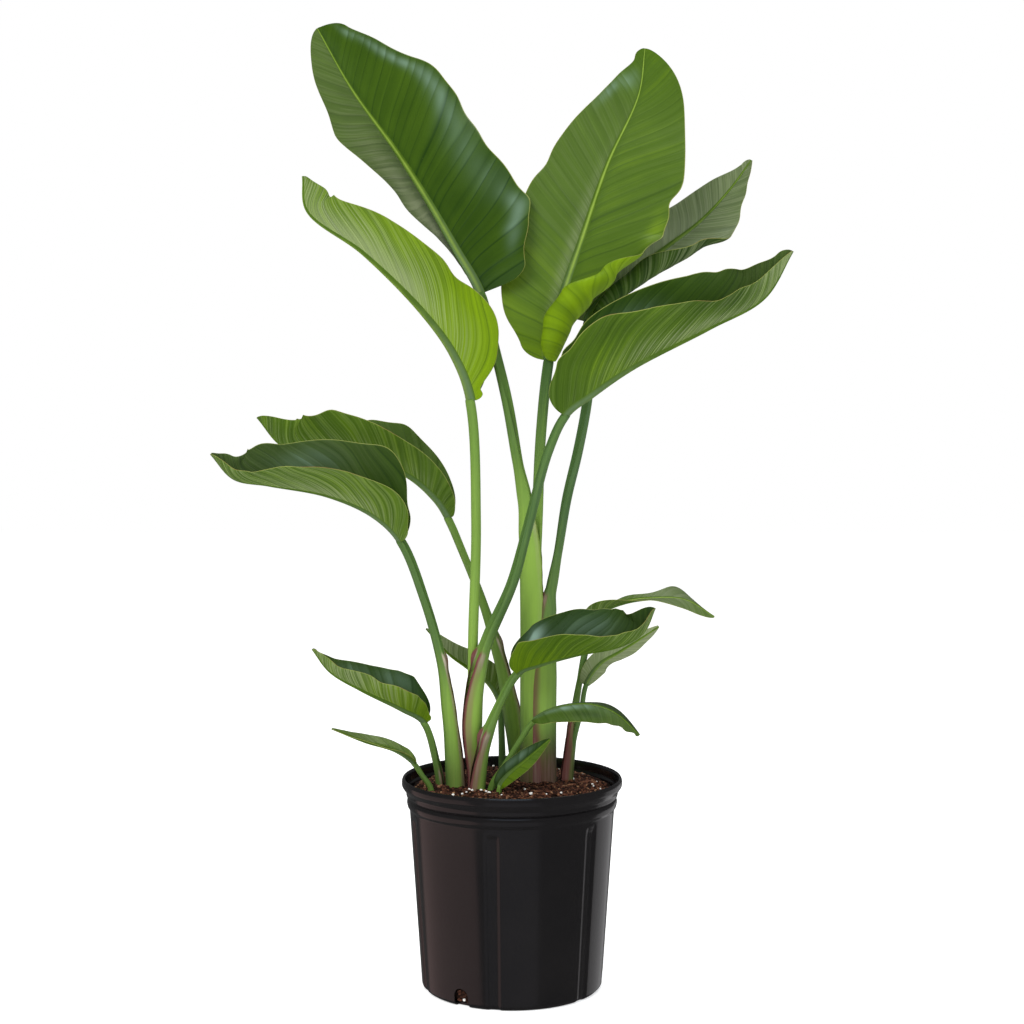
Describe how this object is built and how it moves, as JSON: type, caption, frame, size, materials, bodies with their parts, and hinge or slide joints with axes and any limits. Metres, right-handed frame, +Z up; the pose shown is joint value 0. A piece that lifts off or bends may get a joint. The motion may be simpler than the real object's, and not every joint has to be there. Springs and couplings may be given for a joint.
{
  "type": "potted bird of paradise plant",
  "caption": "Young bird of paradise plant with broad paddle leaves on long sheathed stalks, rooted in soil in a black nursery pot with a rolled rim and drain notches.",
  "frame": {"origin": "middle of the pot's flat underside", "axes": "+Z up along the pot's axis, -Y towards the viewer of the picture, +X to that viewer's right"},
  "size_m": [0.6433, 0.3338, 1.1571],
  "materials": {
    "pot": "satin",
    "soil": "rough crumbs",
    "stalk": "satin",
    "blade": "waxy"
  },
  "bodies": {
    "root": {"pot": "pot", "soil": "soil", "leaf_upper_right_stalk": "stalk", "leaf_upper_right_blade": "blade", "leaf_upper_left_stalk": "stalk", "leaf_upper_left_blade": "blade", "leaf_right_back_stalk": "stalk", "leaf_right_back_blade": "blade", "leaf_left_middle_stalk": "stalk", "leaf_left_middle_blade": "blade", "leaf_right_lower_stalk": "stalk", "leaf_right_lower_blade": "blade", "leaf_left_front_stalk": "stalk", "leaf_left_front_blade": "blade", "leaf_left_back_stalk": "stalk", "leaf_left_back_blade": "blade", "leaf_right_middle_stalk": "stalk", "leaf_right_middle_blade": "blade", "leaf_right_small_stalk": "stalk", "leaf_right_small_blade": "blade", "leaf_right_arching_stalk": "stalk", "leaf_right_arching_blade": "blade", "leaf_front_low_stalk": "stalk", "leaf_front_low_blade": "blade", "leaf_front_smallest_stalk": "stalk", "leaf_front_smallest_blade": "blade", "leaf_left_low_stalk": "stalk", "leaf_left_low_blade": "blade", "leaf_left_lowest_stalk": "stalk", "leaf_left_lowest_blade": "blade", "leaf_back_low_stalk": "stalk", "leaf_back_low_blade": "blade"}
  },
  "joints": []
}
